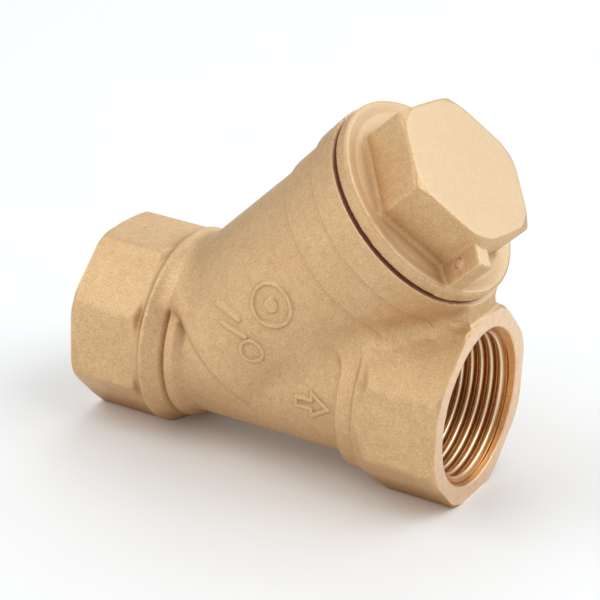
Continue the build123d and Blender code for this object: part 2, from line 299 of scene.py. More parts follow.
# ---- meshing -------------------------------------------------------------------
def crossings(field, values, low, step, axis):
    """Grid edges along one axis that cross the surface: cell, point, whether it starts inside."""
    first = [slice(None)] * 3
    second = [slice(None)] * 3
    first[axis], second[axis] = slice(None, -1), slice(1, None)
    a, b = values[tuple(first)], values[tuple(second)]
    change = (a < 0) != (b < 0)
    for other in range(3):
        if other != axis:
            border = [slice(None)] * 3
            border[other] = [0, -1]
            change[tuple(border)] = False
    index = np.argwhere(change)
    a, b = a[change], b[change]
    start = low + index * step
    near, far = np.zeros(len(a)), np.ones(len(a))
    fa, fb = a.copy(), b.copy()
    for _ in range(3):
        t = near + (far - near) * fa / (fa - fb)
        point = start.copy()
        point[:, axis] += t * step
        value = field(*point.T)
        below = (value < 0) == (fa < 0)
        near, fa = np.where(below, t, near), np.where(below, value, fa)
        far, fb = np.where(below, far, t), np.where(below, fb, value)
        flat = np.abs(fa - fb) < 1e-12
        fb = np.where(flat, fb + 1e-9, fb)
    return index, point, a < 0


def gradient(field, point, reach=0.01):
    """Unit outward direction of the field at each point."""
    parts = []
    for axis in range(3):
        shift = np.zeros(3)
        shift[axis] = reach
        parts.append(field(*(point + shift).T) - field(*(point - shift).T))
    normal = np.stack(parts, 1)
    return normal / np.maximum(np.linalg.norm(normal, axis=1, keepdims=True), 1e-12)


def contour(field, low, high, step):
    """Closed quad mesh of a field's zero surface that keeps its crisp edges.

    Each grid cell that the surface crosses gets one point, set where the planes of its
    crossings meet.  A weak pull to their middle settles the directions left free.
    """
    pull, slack = 0.03, 0.1
    low = np.array(low, float)
    count = np.ceil((np.array(high) - low) / step).astype(int) + 1
    axes = [low[i] + step * np.arange(count[i]) for i in range(3)]
    values = field(*np.meshgrid(*axes, indexing="ij"))
    quads, points, normals = [], [], []
    for axis in range(3):
        index, point, inside_first = crossings(field, values, low, step, axis)
        b, c = (axis + 1) % 3, (axis + 2) % 3
        around = []
        for db, dc in ((-1, -1), (0, -1), (0, 0), (-1, 0)):
            cell = index.copy()
            cell[:, b] += db
            cell[:, c] += dc
            around.append(np.ravel_multi_index(cell.T, count))
        around = np.stack(around, 1)
        around[~inside_first] = around[~inside_first][:, ::-1]
        quads.append(around)
        points.append(point)
        normals.append(gradient(field, point))
    quads = np.concatenate(quads)
    points = np.repeat(np.concatenate(points), 4, 0)
    normals = np.repeat(np.concatenate(normals), 4, 0)
    cells, faces = np.unique(quads, return_inverse=True)
    faces = faces.reshape(quads.shape)
    owner = faces.ravel()

    def total(weights):
        return np.bincount(owner, weights, len(cells))

    share = total(np.ones(len(owner)))
    centre = np.stack([total(points[:, i]) / share for i in range(3)], 1)
    plane = np.sum(normals * (points - centre[owner]), 1)
    matrix = np.empty((len(cells), 3, 3))
    vector = np.empty((len(cells), 3))
    for i in range(3):
        vector[:, i] = total(normals[:, i] * plane)
        for j in range(3):
            matrix[:, i, j] = total(normals[:, i] * normals[:, j])
    matrix += pull * share[:, None, None] * np.eye(3)
    offset = np.linalg.solve(matrix, vector[:, :, None])[:, :, 0]
    corner = low + np.stack(np.unravel_index(cells, count), 1) * step
    place = np.clip(centre + offset, corner - slack * step, corner + (1 + slack) * step)
    return place, faces


def new_piece(name, points, faces, to_frame=None, materials=(), picks=None, crisp=radians(32)):
    """Mesh object from millimetre points, smooth but for edges sharper than crisp."""
    if to_frame is not None:
        points = to_frame(points)
    mesh = bpy.data.meshes.new(name)
    mesh.from_pydata((np.asarray(points) * MM).tolist(), [], [tuple(face) for face in faces])
    mesh.update()
    for material in materials:
        mesh.materials.append(material)
    if picks is not None:
        mesh.polygons.foreach_set("material_index", np.asarray(picks, dtype=np.int32))
    mesh.shade_smooth()
    mesh.set_sharp_from_angle(angle=crisp)
    piece = bpy.data.objects.new(name, mesh)
    bpy.context.scene.collection.objects.link(piece)
    return piece


def branch_to_frame(points):
    """Branch coordinates (across, down, out along the branch) to the frame's."""
    across, down, out = np.asarray(points, float).T
    return np.stack([crossing_x + lean * (down + out), -across, lean * (out - down)], 1)


def branch_coordinates(x, y, z):
    """Distance from the branch axis, height along it, and how far below it."""
    height = (x - crossing_x + z) * lean
    below = (x - crossing_x - z) * lean
    return np.hypot(below, y), height, below


# ---- body ----------------------------------------------------------------------
run_turned = Turned(
    [
        (0, 5),
        (15.7, 5),
        (15.7, 12.9),
        (16.0, 13.3),
        (17.1, 14.4),
        (17.1, 14.8),
        (15.35, 17.3),
        (14.6, 17.75),
        (15.15, 18.2),
        (14.8, 19.6),
        (13.7, 21.0),
        (neck_radius, 21.6),
        (neck_radius, 48.8),
        (14.2, 50.9),
        (15.2, 51.2),
        (15.25, 54.0),
        (15.75, 54.5),
        (15.8, 65),
        (0, 65),
    ],
    soften=0.15,
)
barrel_turned = Turned(
    [
        (0, barrel_foot),
        (15.3, barrel_foot),
        (15.95, barrel_foot + 0.3),
        (16.35, barrel_foot + 0.9),
        (16.5, barrel_foot + 1.6),
        (16.7, 33.1),
        (17.25, 33.2),
        (17.5, 40.4),
        (18.15, 40.55),
        (18.35, 45.45),
        (18.2, collar_face + collar_overrun),
        (0, collar_face + collar_overrun),
    ],
    soften=0.09,
)
end_turned = Turned(
    [
        (port_face_radius, -2),
        (port_face_radius, 0),
        (port_face_radius + port_chamfer_run, port_chamfer_run * port_chamfer_slope),
        (port_face_radius + port_chamfer_run, 30),
    ],
    soften=0.1,
)
port_cavity = Turned(
    [
        (port_entry + 3, -3),
        (port_major + cut_depth, port_entry - port_major - cut_depth),
        (port_major + cut_depth, port_thread_end),
        (run_bore, 15.6),
        (run_bore, 17.0),
    ]
)
chamber_cavity = Turned(
    [
        (9.6, 0.5),
        (9.6, 3.5),
        (11.15, 3.5),
        (11.15, 5.0),
        (chamber_radius, 7.0),
        (chamber_radius, cap_thread_start),
        (body_thread_root + cut_depth, cap_thread_start),
        (body_thread_root + cut_depth, collar_face + 3),
    ]
)


def octagon(y, z):
    """Eight wrench flats, the upper ones drafted towards the forging's parting line."""
    across, up = np.abs(y), np.abs(z)
    upper = np.where(z > 0, up + across * tan(top_flat_draft), up)
    square = soft_max(across, upper, octagon_round)
    return soft_max(square, (across + up) * lean, octagon_round) - half_flats


def beyond_cone(x, radius, corner, slant):
    """Distance beyond a cone through a corner (x, radius), along its slanted normal."""
    return slant[0] * (x - corner[0]) + slant[1] * (radius - corner[1])


def body_outside(x, y, z):
    """The forging before machining."""
    run_radius = np.hypot(y, z)
    radius, height, below = branch_coordinates(x, y, z)
    flats = octagon(y, z)
    shape = run_turned(run_radius, x)
    inlet = soft_max(flats, end_turned(run_radius, x), flats_face_round)
    inlet_end = beyond_cone(x, run_radius, inlet_flats_end, inlet_flats_slant)
    inlet = soft_max(inlet, inlet_end, flats_end_round)
    outlet = soft_max(flats, end_turned(run_radius, run_length - x), flats_face_round)
    outlet_end = beyond_cone(x, run_radius, outlet_flats_end, outlet_flats_slant)
    outlet = soft_max(outlet, outlet_end, flats_end_round)
    shape = soft_min(shape, soft_min(inlet, outlet, ports_round), neck_round)
    barrel = barrel_turned(radius, height)
    crotch = ramp(height, *crotch_heights) * ramp(below, *crotch_sides)
    shoulder = ramp(z, *shoulder_levels) * ramp(-below, *shoulder_sides)
    reach = barrel_round + crotch_round * crotch + shoulder_round * shoulder
    shape = soft_min(shape, barrel, reach)
    sides = np.maximum(np.abs(x - web_middle[0]) - web_half_size[0], np.abs(y) - web_half_size[1])
    web = soft_max(sides, np.abs(z - web_middle[1]) - web_half_size[2], web_edge_round)
    return soft_min(shape, web, web_foot_round)


def body_cavity(x, y, z):
    """Everything bored out of the forging."""
    run_radius = np.hypot(y, z)
    radius, height, _ = branch_coordinates(x, y, z)
    inlet = soft_max(run_radius - run_bore, x - inlet_bore_end, bore_end_round)
    inlet = np.maximum(np.maximum(inlet, port_bore_depth - x), height - inlet_bore_top)
    outlet = soft_max(run_radius - run_bore, outlet_bore_end - x, bore_end_round)
    outlet = np.maximum(outlet, x - run_length + port_bore_depth)
    ports = np.minimum(port_cavity(run_radius, x), port_cavity(run_radius, run_length - x))
    passages = np.minimum(np.minimum(inlet, outlet), ports)
    return np.minimum(passages, chamber_cavity(radius, height))


def body_field(x, y, z):
    """The forging, faced off at its three ends and bored."""
    _, height, _ = branch_coordinates(x, y, z)
    faces = np.maximum(np.maximum(-x, x - run_length), height - collar_face)
    return np.maximum(np.maximum(body_outside(x, y, z), faces), -body_cavity(x, y, z))


def make_body(cast, machined):
    """The forging with its bores, cast skin and machined faces in their own materials."""
    low = (-box_margin, -body_half_width, -half_flats - floor_margin)
    high = (run_length + box_margin, body_half_width, body_top)
    points, faces = contour(body_field, low, high, casting_step)
    x, y, z = points[faces].mean(1).T
    height = branch_coordinates(x, y, z)[1]
    turned = (x < on_face) | (x > run_length - on_face) | (height > collar_face - on_face)
    picks = turned | (np.abs(body_cavity(x, y, z)) < on_bore)
    return new_piece("body_forging", points, faces, None, (cast, machined), picks)


# ---- threads -------------------------------------------------------------------
def thread_sleeve(name, radius_at, start, stop, pitch, back, place, material):
    """Closed sleeve with a helical thread on one side and a plain wall at radius back."""
    around, per_turn = thread_facets, thread_rows_per_turn
    turn = np.linspace(0, 2 * pi, around + 1)
    rows = int((stop - start) / pitch * per_turn) + 2 * per_turn + 2
    phase = np.arange(rows) / per_turn - 1
    height = start + pitch * (phase[None, :] + turn[:, None] / (2 * pi))
    height = np.clip(height, start, stop)
    radius = radius_at(height, height / pitch - turn[:, None] / (2 * pi))
    ends = [np.full((around + 1, 1), value) for value in (start, stop)]
    height = np.hstack([ends[0], height, ends[1]])
    wall = np.full((around + 1, 1), back)
    radius = np.hstack([wall, radius, wall])
    points = np.stack(
        [radius * np.cos(turn)[:, None], radius * np.sin(turn)[:, None], height], 2
    ).reshape(-1, 3)
    columns = rows + 2
    i, j = np.meshgrid(np.arange(around), np.arange(columns), indexing="ij")
    step_j = (j + 1) % columns
    quads = np.stack(
        [i * columns + j, (i + 1) * columns + j, (i + 1) * columns + step_j, i * columns + step_j], 2
    ).reshape(-1, 4)
    piece = new_piece(name, points, quads, place, (material,))
    shell = bmesh.new()
    shell.from_mesh(piece.data)
    bmesh.ops.remove_doubles(shell, verts=shell.verts, dist=2e-7)
    bmesh.ops.recalc_face_normals(shell, faces=shell.faces)
    shell.to_mesh(piece.data)
    shell.free()
    piece.data.shade_smooth()
    piece.data.set_sharp_from_angle(angle=radians(50))
    return piece


def thread_radius(phase, pitch, inner, outer, slope, outer_flat, softness):
    """Radius of a V thread with rounded crest and root; the groove is at phase 0.5."""
    off = np.abs((phase % 1) - 0.5) * pitch
    flank = outer - (off - outer_flat) / slope
    rounded = soft_min(flank, np.full_like(flank, outer), softness)
    return soft_max(rounded, np.full_like(flank, inner), softness)


def port_radius(height, phase):
    """G 3/4 female thread running out into the entry chamfer, just proud of the bored cone."""
    thread = thread_radius(
        phase,
        port_pitch,
        port_crest,
        port_major,
        tan(port_flank),
        port_thread_flat,
        port_thread_round,
    )
    return np.maximum(thread, port_entry - height - port_cone_gap)


def cap_seat_radius(height, phase):
    """M30 female thread in the collar."""
    thread = thread_radius(
        phase,
        cap_pitch,
        body_thread_crest,
        body_thread_root,
        tan(cap_thread_flank),
        body_thread_flat,
        cap_thread_round,
    )
    chamfer = body_thread_root - (collar_face - height)
    return np.maximum(thread, chamfer)


def plug_radius(height, phase):
    """M30 male thread on the cap's plug."""
    thread = thread_radius(
        phase + 0.5,
        cap_pitch,
        male_root,
        male_crest,
        tan(cap_thread_flank),
        male_thread_flat,
        cap_thread_round,
    )
    start = male_root + (height - plug_end) - male_lead_in
    runout = male_crest - (height - male_runout) * male_runout_slope
    return np.maximum(np.minimum(np.minimum(thread, start), runout), plug_core + 0.03)


def inlet_place(points):
    """From a sleeve's own axes to the inlet port's, mouth at the inlet face."""
    x, y, z = points.T
    return np.stack([z, y, x], 1)


def outlet_place(points):
    """From a sleeve's own axes to the outlet port's, mouth at the outlet face."""
    x, y, z = points.T
    return np.stack([run_length - z, y, -x], 1)


# ---- raised marks ----------------------------------------------------------------
def arrow_shape(x, z):
    """Outline arrow on the neck, pointing to the outlet."""
    outline = [
        (arrow_tail, arrow_middle + arrow_shaft_half),
        (arrow_neck, arrow_middle + arrow_shaft_half),
        (arrow_neck, arrow_middle + arrow_head_half),
        (arrow_tip, arrow_middle),
        (arrow_neck, arrow_middle - arrow_head_half),
        (arrow_neck, arrow_middle - arrow_shaft_half),
        (arrow_tail, arrow_middle - arrow_shaft_half),
    ]
    return np.abs(outline_distance(outline, x, z) + arrow_inset) - arrow_line


def ring_shape(x, z):
    """Large ring with a dot in its middle, on the barrel's side."""
    reach = np.hypot(x - ring_place[0], z - ring_place[1])
    return np.minimum(np.abs(reach - ring_radius) - ring_line, reach - ring_dot)


def small_ring_shape(x, z):
    """Small ring below the large one."""
    reach = np.hypot(x - small_ring_place[0], z - small_ring_place[1])
    return np.abs(reach - small_ring_radius) - small_ring_line


def bars_shape(x, z):
    """Two round-ended bars beside the rings."""
    bars = []
    for bar_x, bar_z in bar_places:
        along = (x - bar_x) * cos(bar_tilt) + (z - bar_z) * sin(bar_tilt)
        across = (z - bar_z) * cos(bar_tilt) - (x - bar_x) * sin(bar_tilt)
        past_end = np.maximum(np.abs(along) - bar_half_length, 0)
        bars.append(np.hypot(past_end, across) - bar_line)
    return np.minimum(bars[0], bars[1])


def make_mark(name, shape, low, high, material):
    """Raised mark that melts into the forging's skin at its foot."""

    def field(x, y, z):
        skin = body_outside(x, y, z)
        mark = soft_max(shape(x, z), skin - mark_height, mark_round)
        patch = np.maximum(shape(x, z) - patch_margin, -(skin + patch_depth))
        return np.maximum(soft_min(skin + mark_sink, mark, mark_foot_round), patch)

    points, faces = contour(field, low, high, mark_step)
    return new_piece(name, points, faces, None, (material,), crisp=radians(60))


# ---- screen --------------------------------------------------------------------
def swept_wires(name, paths, radius, material, closed):
    """Round wires along paths given as (wire, station, 3) points, all in one mesh."""
    wires, stations, sides = paths.shape[0], paths.shape[1], wire_sides
    ahead = np.roll(paths, -1, 1) - np.roll(paths, 1, 1)
    if not closed:
        ahead[:, 0] = paths[:, 1] - paths[:, 0]
        ahead[:, -1] = paths[:, -1] - paths[:, -2]
    ahead /= np.linalg.norm(ahead, axis=2, keepdims=True)
    outward = paths * (1, 1, 0)
    outward /= np.linalg.norm(outward, axis=2, keepdims=True)
    side = np.cross(ahead, outward)
    side /= np.linalg.norm(side, axis=2, keepdims=True)
    outward = np.cross(side, ahead)
    turn = 2 * pi * np.arange(sides) / sides
    ring = (
        paths[:, :, None]
        + radius * np.cos(turn)[:, None] * outward[:, :, None]
        + radius * np.sin(turn)[:, None] * side[:, :, None]
    )
    spans = stations if closed else stations - 1
    w, i, j = np.meshgrid(np.arange(wires), np.arange(spans), np.arange(sides), indexing="ij")
    next_i, next_j = (i + 1) % stations, (j + 1) % sides

    def number(station, place):
        return (w * stations + station) * sides + place

    quads = np.stack([number(i, j), number(next_i, j), number(next_i, next_j), number(i, next_j)], 3)
    faces = quads.reshape(-1, 4).tolist()
    if not closed:
        first = np.arange(wires)[:, None] * stations * sides + np.arange(sides)
        faces += first.tolist() + (first[:, ::-1] + (stations - 1) * sides).tolist()
    return new_piece(name, ring.reshape(-1, 3), faces, branch_to_frame, (material,), crisp=pi)


def make_weave(material):
    """Plain-woven cylinder: warp wires along the branch, weft wires round it."""
    heights = np.arange(screen_foot + warp_inset, screen_top - warp_inset + 0.01, weft_pitch / 4)
    angles = 2 * pi * np.arange(warp_count) / warp_count
    sway = wave * np.cos(pi * (heights - screen_foot) / weft_pitch)
    sign = np.where(np.arange(warp_count) % 2, -1, 1)
    radius = weave_radius + sway[None, :] * sign[:, None]
    warp = np.stack(
        [
            radius * np.cos(angles)[:, None],
            radius * np.sin(angles)[:, None],
            np.broadcast_to(heights, radius.shape),
        ],
        2,
    )
    first_row = screen_foot + ring_height + weft_inset
    rows = np.arange(first_row, screen_top - ring_height - weft_inset, weft_pitch)
    around = 2 * pi * np.arange(4 * warp_count) / (4 * warp_count)
    sign = np.cos(pi * (rows - screen_foot) / weft_pitch)
    radius = weave_radius - wave * sign[:, None] * np.cos(around * warp_count / 2)[None, :]
    weft = np.stack(
        [
            radius * np.cos(around),
            radius * np.sin(around),
            np.broadcast_to(rows[:, None], radius.shape),
        ],
        2,
    )
    warp_piece = swept_wires("woven_warp", warp, wire_radius, material, False)
    weft_piece = swept_wires("woven_weft", weft, wire_radius, material, True)
    return warp_piece, weft_piece


# ---- cap -----------------------------------------------------------------------
flange_turned = Turned(
    [
        (0, flange_under),
        (17.75, flange_under),
        (flange_radius, flange_under + 0.15),
        (flange_radius, flange_top - 0.3),
        (17.6, flange_top + 0.02),
        (17.2, flange_top),
        (15.6, flange_top - 0.25),
        (13.5, flange_top - flange_dip),
        (0, flange_top - flange_dip),
    ],
    soften=0.08,
)
plug_turned = Turned(
    [
        (13.6, plug_end),
        (plug_core, plug_end + 0.25),
        (plug_core, 44.8),
        (13.7, 45.0),
        (13.7, flange_under + 1),
    ]
)
head_turned = Turned(
    [
        (20, 40),
        (20, hex_top - (20 - hex_top_radius) * hex_chamfer),
        (hex_top_radius, hex_top),
        (0, hex_top),
    ],
    soften=0.12,
)
cap_cavity = Turned(
    [
        (plug_hollow, plug_end - 3),
        (plug_hollow, 44.8),
        (9.8, 44.8),
        (9.8, 47.5),
        (7.8, 49.5),
        (0, 49.5),
    ]
)


def make_gasket(material):
    """Fibre ring squeezed between the collar and the flange."""
    middle = (collar_face + flange_under) / 2
    half_height = (flange_under - collar_face) / 2

    def field(a, b, height):
        ripple = gasket_ripple * np.sin(gasket_ripples * np.arctan2(b, a))
        edge = np.abs(np.hypot(a, b) - gasket_radius) - gasket_half_width + ripple
        return soft_max(edge, np.abs(height - middle) - half_height + gasket_clearance, gasket_round)

    low = (-cap_half_width, -cap_half_width, collar_face - gasket_margin)
    high = (cap_half_width, cap_half_width, flange_under + gasket_margin)
    points, faces = contour(field, low, high, gasket_step)
    return new_piece("squeezed_gasket", points, faces, branch_to_frame, (material,))


def hexagon(a, b):
    """Six wrench flats of the cap's head."""
    flats = []
    for k in range(3):
        angle = hex_turn + radians(30 + 60 * k)
        flats.append(np.abs(a * cos(angle) + b * sin(angle)))
    pair = soft_max(flats[0], flats[1], hex_edge_round)
    return soft_max(pair, flats[2], hex_edge_round) - hex_half_flats


def seal_lug(a, b, height, radius):
    """Lug at one corner of the hexagon, flush with the flange, and its cross hole."""
    out = a * cos(hex_turn) + b * sin(hex_turn)
    side = b * cos(hex_turn) - a * sin(hex_turn)
    lug = soft_max(np.abs(side) - lug_half_width, radius - lug_reach, lug_round)
    lug = soft_max(lug, height - lug_top, lug_round)
    lug = np.maximum(np.maximum(lug, lug_start - out), flange_under + head_overlap - height)
    hole = np.hypot(out - seal_hole_reach, height - seal_hole_height) - seal_hole_radius
    return lug, hole


def cap_outside(a, b, height):
    """The cap before it is hollowed, and the seal hole."""
    radius = np.hypot(a, b)
    head = soft_max(hexagon(a, b), head_turned(radius, height), head_top_round)
    head = np.maximum(head, flange_under + head_overlap - height)
    lug, hole = seal_lug(a, b, height, radius)
    head = soft_min(head, lug, lug_foot_round)
    cap = soft_min(flange_turned(radius, height), head, head_foot_round)
    return np.minimum(cap, plug_turned(radius, height)), hole


def cap_field(a, b, height):
    """The finished cap."""
    outside, hole = cap_outside(a, b, height)
    cavity = cap_cavity(np.hypot(a, b), height)
    return np.maximum(outside, -np.minimum(cavity, hole))


def make_cap(cast, machined):
    """Hexagon cap with its flange, seal lug and hollow plug."""
    low = (-cap_half_width, -cap_half_width, plug_end - box_margin)
    high = (cap_half_width, cap_half_width, hex_top + box_margin)
    points, faces = contour(cap_field, low, high, casting_step)
    a, b, height = points[faces].mean(1).T
    bored = np.abs(cap_cavity(np.hypot(a, b), height)) < on_cap_bore
    drilled = np.abs(cap_outside(a, b, height)[1]) < on_cap_bore
    picks = (height < flange_under + on_flange) | bored | drilled
    return new_piece("cap_forging", points, faces, branch_to_frame, (cast, machined), picks)


# ---- materials -----------------------------------------------------------------
class Nodes:
    """Short way to write a material's node tree."""

    def __init__(self, name):
        self.material = bpy.data.materials.new(name)
        self.material.use_nodes = True
        self.tree = self.material.node_tree
        self.shader = self.tree.nodes["Principled BSDF"]
        self.place = self.add("ShaderNodeTexCoord").outputs["Object"]

    def add(self, kind, **values):
        node = self.tree.nodes.new(kind)
        for key, value in values.items():
            setattr(node, key, value)
        return node

    def link(self, source, target):
        self.tree.links.new(source, target)

    def noise(self, size, detail=2.0, roughness=0.5):
        """Noise whose grains are about size millimetres wide."""
        node = self.add("ShaderNodeTexNoise")
        node.inputs["Scale"].default_value = 1 / (size * MM)
        node.inputs["Detail"].default_value = detail
        node.inputs["Roughness"].default_value = roughness
        self.link(self.place, node.inputs["Vector"])
        return node.outputs["Fac"]

    def ramp(self, source, stops):
        """Colours that follow a value, from (position, colour) stops."""
        node = self.add("ShaderNodeValToRGB")
        while len(node.color_ramp.elements) < len(stops):
            node.color_ramp.elements.new(0.5)
        for element, (position, colour) in zip(node.color_ramp.elements, stops):
            element.position = position
            element.color = (*colour, 1)
        self.link(source, node.inputs["Fac"])
        return node.outputs["Color"]

    def spread(self, source, low, high, to_low, to_high):
        """A value's range stretched to another range, and held at its ends."""
        node = self.add("ShaderNodeMapRange")
        values = (low, high, to_low, to_high)
        for socket, value in zip(("From Min", "From Max", "To Min", "To Max"), values):
            node.inputs[socket].default_value = value
        self.link(source, node.inputs["Value"])
        return node.outputs["Result"]

    def mix(self, kind, factor, first, second):
        """Second colour over the first; each may be a colour or a socket."""
        node = self.add("ShaderNodeMix", data_type="RGBA", blend_type=kind)
        for socket, value in ((0, factor), (6, first), (7, second)):
            if isinstance(value, (int, float)):
                node.inputs[socket].default_value = value
            elif isinstance(value, tuple):
                node.inputs[socket].default_value = (*value, 1)
            else:
                self.link(value, node.inputs[socket])
        return node.outputs[2]

    def math(self, operation, *values):
        """Arithmetic on numbers or sockets."""
        node = self.add("ShaderNodeMath", operation=operation)
        for socket, value in zip(node.inputs, values):
            if isinstance(value, (int, float)):
                socket.default_value = value
            else:
                self.link(value, socket)
        return node.outputs[0]

    def bump(self, height, strength, distance, below=None):
        """Relief distance millimetres deep, laid over another relief."""
        node = self.add("ShaderNodeBump")
        node.inputs["Strength"].default_value = strength
        node.inputs["Distance"].default_value = distance * MM
        self.link(height, node.inputs["Height"])
        if below is not None:
            self.link(below, node.inputs["Normal"])
        return node.outputs["Normal"]

    def shelter(self, distance, inside=False):
        """1 on an open face, towards 0 in a corner, or on an edge when seen from inside."""
        node = self.add("ShaderNodeAmbientOcclusion", samples=8, only_local=inside, inside=inside)
        node.inputs["Distance"].default_value = distance * MM
        return node.outputs["AO"]

    def facing(self, direction):
        """Cosine between the surface's normal and a fixed direction."""
        cosine = self.add("ShaderNodeVectorMath", operation="DOT_PRODUCT")
        self.link(self.add("ShaderNodeNewGeometry").outputs["Normal"], cosine.inputs[0])
        cosine.inputs[1].default_value = direction
        return cosine.outputs["Value"]

    def set(self, **values):
        """Numbers or sockets for the shader's own inputs."""
        for key, value in values.items():
            socket = self.shader.inputs[key.replace("_", " ")]
            if isinstance(value, (int, float)):
                socket.default_value = value
            else:
                self.link(value, socket)


def blasted_brass():
    """Hot-forged brass: fine matt grain, edges lighter through wear and a painted highlight, faces up the branch
    painted lighter as a painted highlight, and painted shade in creases and hollows.
    """
    n = Nodes("blasted_brass")
    grain = n.noise(0.26, detail=2.5, roughness=0.65)
    patch = n.noise(1.4, detail=3.0)
    cloud = n.noise(9.0, detail=2.0)
    stops = [(0.3, (0.62, 0.405, 0.21)), (0.52, (0.71, 0.49, 0.275)), (0.75, (0.80, 0.60, 0.37))]
    tone = n.ramp(grain, stops)
    blotch = n.ramp(patch, [(0.3, (0.86, 0.82, 0.76)), (0.7, (1.0, 1.0, 1.0))])
    tone = n.mix("MULTIPLY", 0.6, tone, blotch)
    haze = n.ramp(cloud, [(0.35, (0.93, 0.89, 0.84)), (0.65, (1.0, 1.0, 1.0))])
    tone = n.mix("MULTIPLY", 0.5, tone, haze)
    # Lighter on convex edges: partly wear on the edges, partly a painted highlight.
    edge_wear_and_highlight = n.spread(n.shelter(0.5, inside=True), 0.55, 0.93, 0.5, 0.0)
    tone = n.mix("MIX", edge_wear_and_highlight, tone, (0.90, 0.70, 0.44))
    # Faces turned up the branch, the cap's hex top above all, painted lighter: a painted highlight where the light
    # falls on them.
    pressed = n.spread(n.facing((lean, 0, lean)), 0.96, 0.995, 0.0, 0.5)
    tone = n.mix("MIX", pressed, tone, (0.97, 0.79, 0.56))
    # Darker and browner in creases, under steps and in hollows, found by occlusion: painted shade.
    line = n.spread(n.shelter(1.6), 0.6, 0.97, 0.8, 0.0)
    hollow = n.spread(n.shelter(7.0), 0.25, 0.75, 0.65, 0.0)
    painted_crevice_shade = n.math("MAXIMUM", line, hollow)
    tone = n.mix("MIX", painted_crevice_shade, tone, (0.40, 0.21, 0.085))
    roughness = n.spread(grain, 0.3, 0.7, 0.62, 0.48)
    normal = n.bump(grain, 0.4, 0.04)
    normal = n.bump(patch, 0.25, 0.08, normal)
    n.set(Metallic=0.85)
    n.link(tone, n.shader.inputs["Base Color"])
    n.set(Roughness=roughness, Normal=normal)
    return n.material


def machined_brass():
    """Turned brass: bright, with faint tool marks."""
    n = Nodes("machined_brass")
    fine = n.noise(1.2, detail=3.0)
    tone = n.ramp(fine, [(0.3, (0.80, 0.56, 0.36)), (0.7, (0.88, 0.65, 0.44))])
    marks = n.noise(0.35, detail=1.0)
    roughness = n.spread(n.noise(2.0, detail=2.0), 0.3, 0.7, 0.34, 0.46)
    n.set(Metallic=0.95)
    n.link(tone, n.shader.inputs["Base Color"])
    n.set(Roughness=roughness, Normal=n.bump(marks, 0.08, 0.01))
    return n.material


def thread_brass(name, crest_at):
    """Cut thread: crests lighter, partly wear and partly a painted highlight, over flanks and roots painted darker
    and redder as painted shade.
    """
    n = Nodes(name)
    fine = n.noise(0.4, detail=3.0)
    # Darker, redder base: painted shade in the thread's flanks and roots.
    tone = n.ramp(fine, [(0.3, (0.50, 0.21, 0.06)), (0.7, (0.62, 0.30, 0.11))])
    # Crests lighter: partly wear, partly a painted highlight.
    tone = n.mix("MIX", crest_at(n), tone, (0.95, 0.76, 0.53))
    n.set(Metallic=1.0)
    n.link(tone, n.shader.inputs["Base Color"])
    n.set(Roughness=n.spread(fine, 0.3, 0.7, 0.3, 0.42), Normal=n.bump(fine, 0.1, 0.015))
    return n.material


def port_crests(n):
    """Mask for the crests' wear and painted highlight: 1 on the port threads' crests, falling to 0 half way down
    their flanks.
    """
    axes = n.add("ShaderNodeSeparateXYZ")
    n.link(n.place, axes.inputs[0])
    y, z = axes.outputs["Y"], axes.outputs["Z"]
    square = n.math("ADD", n.math("MULTIPLY", y, y), n.math("MULTIPLY", z, z))
    radius = n.math("SQRT", square)
    return n.spread(radius, (port_crest + 0.12) * MM, (port_crest + 0.42) * MM, 1.0, 0.0)


def crest_wear_and_highlight(n):
    """Near 1 on convex edges, where the crests get their wear and painted highlight."""
    return n.spread(n.shelter(0.45, inside=True), 0.4, 0.8, 0.85, 0.0)


def gasket_fibre():
    """Dark red fibre sheet with a fine matt mottle."""
    n = Nodes("gasket_fibre")
    mottle = n.noise(0.25, detail=4.0, roughness=0.7)
    tone = n.ramp(mottle, [(0.3, (0.06, 0.008, 0.006)), (0.7, (0.16, 0.03, 0.022))])
    n.link(tone, n.shader.inputs["Base Color"])
    n.set(Roughness=n.spread(mottle, 0.3, 0.7, 0.75, 0.92), Normal=n.bump(mottle, 0.4, 0.05))
    return n.material


def stainless():
    """Drawn stainless wire and pressed ring."""
    n = Nodes("stainless_wire")
    streak = n.noise(0.6, detail=3.0)
    tone = n.ramp(streak, [(0.3, (0.50, 0.50, 0.50)), (0.7, (0.68, 0.67, 0.66))])
    n.set(Metallic=1.0)
    n.link(tone, n.shader.inputs["Base Color"])
    n.set(Roughness=n.spread(streak, 0.3, 0.7, 0.22, 0.4), Normal=n.bump(streak, 0.1, 0.01))
    return n.material


# ---- assembly ------------------------------------------------------------------
cast = blasted_brass()
turned_brass = machined_brass()
port_brass = thread_brass("port_thread_brass", port_crests)
cut_brass = thread_brass("cap_thread_brass", crest_wear_and_highlight)
gasket_material = gasket_fibre()
steel = stainless()

